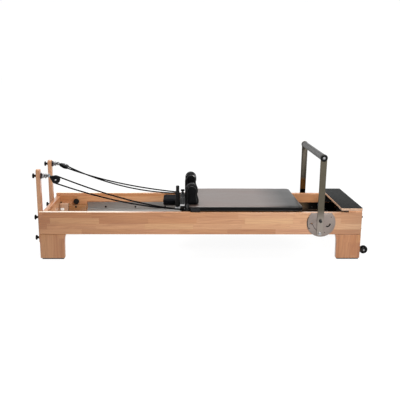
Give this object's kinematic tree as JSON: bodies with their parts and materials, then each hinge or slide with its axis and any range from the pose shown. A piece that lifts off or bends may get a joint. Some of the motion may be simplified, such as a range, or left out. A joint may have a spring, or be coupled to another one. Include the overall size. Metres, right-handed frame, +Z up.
{
  "type": "pilates reformer",
  "caption": "Wooden exercise frame with a sprung rolling carriage, shoulder rests, swinging footbar, standing platform and rope pulleys on two risers.",
  "frame": {"origin": "centre of the footprint on the floor", "axes": "+X along the frame towards the footbar and standing platform, +Z up, Y across the frame"},
  "size_m": [2.5261, 0.7382, 0.803],
  "materials": {
    "frame_wood": "satin varnish",
    "riser_wood": "satin varnish",
    "deck_laminate": "satin laminate",
    "black_rubber": "matte",
    "grip_mat": "fine texture",
    "track_metal": "brushed",
    "polished_steel": "polished",
    "zinc_steel": "bright",
    "grip_cover": "ribbed",
    "black_plastic": "satin",
    "black_vinyl": "satin",
    "rope_braid": "braided",
    "loop_webbing": "woven"
  },
  "bodies": {
    "frame": {"side_rail_near": "frame_wood", "side_rail_far": "frame_wood", "head_end_board": "frame_wood", "foot_end_board": "frame_wood", "head_leg_near": "frame_wood", "head_leg_far": "frame_wood", "foot_leg_near": "frame_wood", "foot_leg_far": "frame_wood", "head_floor_pad_near": "black_rubber", "head_floor_pad_far": "black_rubber", "foot_floor_pad_near": "black_rubber", "foot_floor_pad_far": "black_rubber", "track_near": "track_metal", "track_far": "track_metal", "standing_platform": "frame_wood", "platform_grip_mat": "grip_mat", "footbar_plate_near": "polished_steel", "footbar_plate_far": "polished_steel", "spring_bar": "polished_steel", "transport_bracket_near": "black_plastic", "transport_bracket_far": "black_plastic", "carriage_spring_1": "zinc_steel", "carriage_spring_2": "zinc_steel", "carriage_spring_3": "zinc_steel", "carriage_spring_4": "zinc_steel", "rope_near": "rope_braid", "rope_far": "rope_braid"},
    "carriage": {"carriage_frame": "deck_laminate", "carriage_cushion": "black_vinyl", "shoulder_rest_base": "black_plastic", "shoulder_rest_near": "black_vinyl", "shoulder_rest_far": "black_vinyl", "foot_loop_near": "loop_webbing", "foot_loop_far": "loop_webbing"},
    "headrest": {"headrest": "black_vinyl"},
    "footbar": {"footbar_upright_near": "polished_steel", "footbar_upright_far": "polished_steel", "footbar_grip": "grip_cover"},
    "riser_near": {"riser_post_near": "riser_wood", "pulley_eyebolt_near": "zinc_steel"},
    "pulley_block_near": {"pulley_block_near": "black_plastic"},
    "pulley_sheave_near": {"pulley_sheave_near": "black_plastic"},
    "pulley_knob_near": {"pulley_knob_near": "black_plastic"},
    "lower_clamp_knob_near": {"lower_clamp_knob_near": "black_plastic"},
    "upper_clamp_knob_near": {"upper_clamp_knob_near": "black_plastic"},
    "transport_wheel_near": {"transport_wheel_near": "black_rubber"},
    "lock_pin_near": {"footbar_lock_pin_near": "black_plastic"},
    "carriage_wheel_head_near": {"carriage_wheel_head_near": "black_rubber"},
    "carriage_wheel_foot_near": {"carriage_wheel_foot_near": "black_rubber"},
    "riser_far": {"riser_post_far": "riser_wood", "pulley_eyebolt_far": "zinc_steel"},
    "pulley_block_far": {"pulley_block_far": "black_plastic"},
    "pulley_sheave_far": {"pulley_sheave_far": "black_plastic"},
    "pulley_knob_far": {"pulley_knob_far": "black_plastic"},
    "lower_clamp_knob_far": {"lower_clamp_knob_far": "black_plastic"},
    "upper_clamp_knob_far": {"upper_clamp_knob_far": "black_plastic"},
    "transport_wheel_far": {"transport_wheel_far": "black_rubber"},
    "lock_pin_far": {"footbar_lock_pin_far": "black_plastic"},
    "carriage_wheel_head_far": {"carriage_wheel_head_far": "black_rubber"},
    "carriage_wheel_foot_far": {"carriage_wheel_foot_far": "black_rubber"}
  },
  "joints": [
    {"name": "carriage_slide", "type": "slide", "parent": "frame", "child": "carriage", "axis": [1, 0, 0], "range_m": [-0.8, 0], "stiffness_N_per_m": 90, "springref_m": 0.15, "deforming": ["rope_near", "rope_far", "carriage_spring_1", "carriage_spring_2", "carriage_spring_3", "carriage_spring_4"]},
    {"name": "headrest_tilt", "type": "hinge", "parent": "carriage", "child": "headrest", "pos_m": [-0.17, 0, 0.37], "axis": [0, 1, 0], "range_deg": [0, 35]},
    {"name": "footbar_fold", "type": "hinge", "parent": "frame", "child": "footbar", "pos_m": [0.884, 0, 0.203], "axis": [0, 1, 0], "range_deg": [-39, 47]},
    {"name": "riser_height_near", "type": "slide", "parent": "frame", "child": "riser_near", "axis": [0, 0, 1], "range_m": [-0.09, 0.02]},
    {"name": "pulley_swivel_near", "type": "hinge", "parent": "riser_near", "child": "pulley_block_near", "pos_m": [-1.14, -0.205, 0.608], "axis": [0, 0, 1], "range_deg": [-12, 12]},
    {"name": "sheave_spin_near", "type": "hinge", "parent": "pulley_block_near", "child": "pulley_sheave_near", "pos_m": [-1.08791, -0.205, 0.5803], "axis": [0, 1, 0], "continuous": true},
    {"name": "pulley_knob_turn_near", "type": "hinge", "parent": "riser_near", "child": "pulley_knob_near", "pos_m": [-1.2326, -0.205, 0.608], "axis": [1, 0, 0], "range_deg": [0, 360]},
    {"name": "lower_clamp_turn_near", "type": "hinge", "parent": "frame", "child": "lower_clamp_knob_near", "pos_m": [-1.2326, -0.205, 0.13], "axis": [1, 0, 0], "range_deg": [0, 360]},
    {"name": "upper_clamp_turn_near", "type": "hinge", "parent": "frame", "child": "upper_clamp_knob_near", "pos_m": [-1.2326, -0.205, 0.29], "axis": [1, 0, 0], "range_deg": [0, 360]},
    {"name": "transport_wheel_spin_near", "type": "hinge", "parent": "frame", "child": "transport_wheel_near", "pos_m": [1.2345, -0.31, 0.0675], "axis": [0, 1, 0], "continuous": true},
    {"name": "lock_pin_pull_near", "type": "slide", "parent": "footbar", "child": "lock_pin_near", "axis": [0, -1, 0], "range_m": [0, 0.012], "stiffness_N_per_m": 400, "springref_m": -0.004},
    {"name": "carriage_wheel_head_near_spin", "type": "hinge", "parent": "carriage", "child": "carriage_wheel_head_near", "pos_m": [-0.06, -0.279, 0.2563], "axis": [0, 1, 0], "range_deg": [-1834, 2]},
    {"name": "carriage_wheel_foot_near_spin", "type": "hinge", "parent": "carriage", "child": "carriage_wheel_foot_near", "pos_m": [0.69, -0.279, 0.2563], "axis": [0, 1, 0], "range_deg": [-1834, 2]},
    {"name": "riser_height_far", "type": "slide", "parent": "frame", "child": "riser_far", "axis": [0, 0, 1], "range_m": [-0.09, 0.02]},
    {"name": "pulley_swivel_far", "type": "hinge", "parent": "riser_far", "child": "pulley_block_far", "pos_m": [-1.152, 0.205, 0.628], "axis": [0, 0, 1], "range_deg": [-12, 12]},
    {"name": "sheave_spin_far", "type": "hinge", "parent": "pulley_block_far", "child": "pulley_sheave_far", "pos_m": [-1.09656, 0.205, 0.60782], "axis": [-0.3412, 0.0698, -0.9374], "continuous": true},
    {"name": "pulley_knob_turn_far", "type": "hinge", "parent": "riser_far", "child": "pulley_knob_far", "pos_m": [-1.2326, 0.205, 0.628], "axis": [1, 0, 0], "range_deg": [0, 360]},
    {"name": "lower_clamp_turn_far", "type": "hinge", "parent": "frame", "child": "lower_clamp_knob_far", "pos_m": [-1.2326, 0.205, 0.13], "axis": [1, 0, 0], "range_deg": [0, 360]},
    {"name": "upper_clamp_turn_far", "type": "hinge", "parent": "frame", "child": "upper_clamp_knob_far", "pos_m": [-1.2326, 0.205, 0.29], "axis": [1, 0, 0], "range_deg": [0, 360]},
    {"name": "transport_wheel_spin_far", "type": "hinge", "parent": "frame", "child": "transport_wheel_far", "pos_m": [1.2345, 0.31, 0.0675], "axis": [0, 1, 0], "continuous": true},
    {"name": "lock_pin_pull_far", "type": "slide", "parent": "footbar", "child": "lock_pin_far", "axis": [0, 1, 0], "range_m": [0, 0.012], "stiffness_N_per_m": 400, "springref_m": -0.004},
    {"name": "carriage_wheel_head_far_spin", "type": "hinge", "parent": "carriage", "child": "carriage_wheel_head_far", "pos_m": [-0.06, 0.279, 0.2563], "axis": [0, 1, 0], "range_deg": [-1834, 2]},
    {"name": "carriage_wheel_foot_far_spin", "type": "hinge", "parent": "carriage", "child": "carriage_wheel_foot_far", "pos_m": [0.69, 0.279, 0.2563], "axis": [0, 1, 0], "range_deg": [-1834, 2]}
  ],
  "couplings": [
    {"joint": "carriage_wheel_head_near_spin", "follows": "carriage_slide", "rad_per_m": 40},
    {"joint": "carriage_wheel_head_far_spin", "follows": "carriage_slide", "rad_per_m": 40},
    {"joint": "carriage_wheel_foot_near_spin", "follows": "carriage_slide", "rad_per_m": 40},
    {"joint": "carriage_wheel_foot_far_spin", "follows": "carriage_slide", "rad_per_m": 40}
  ]
}
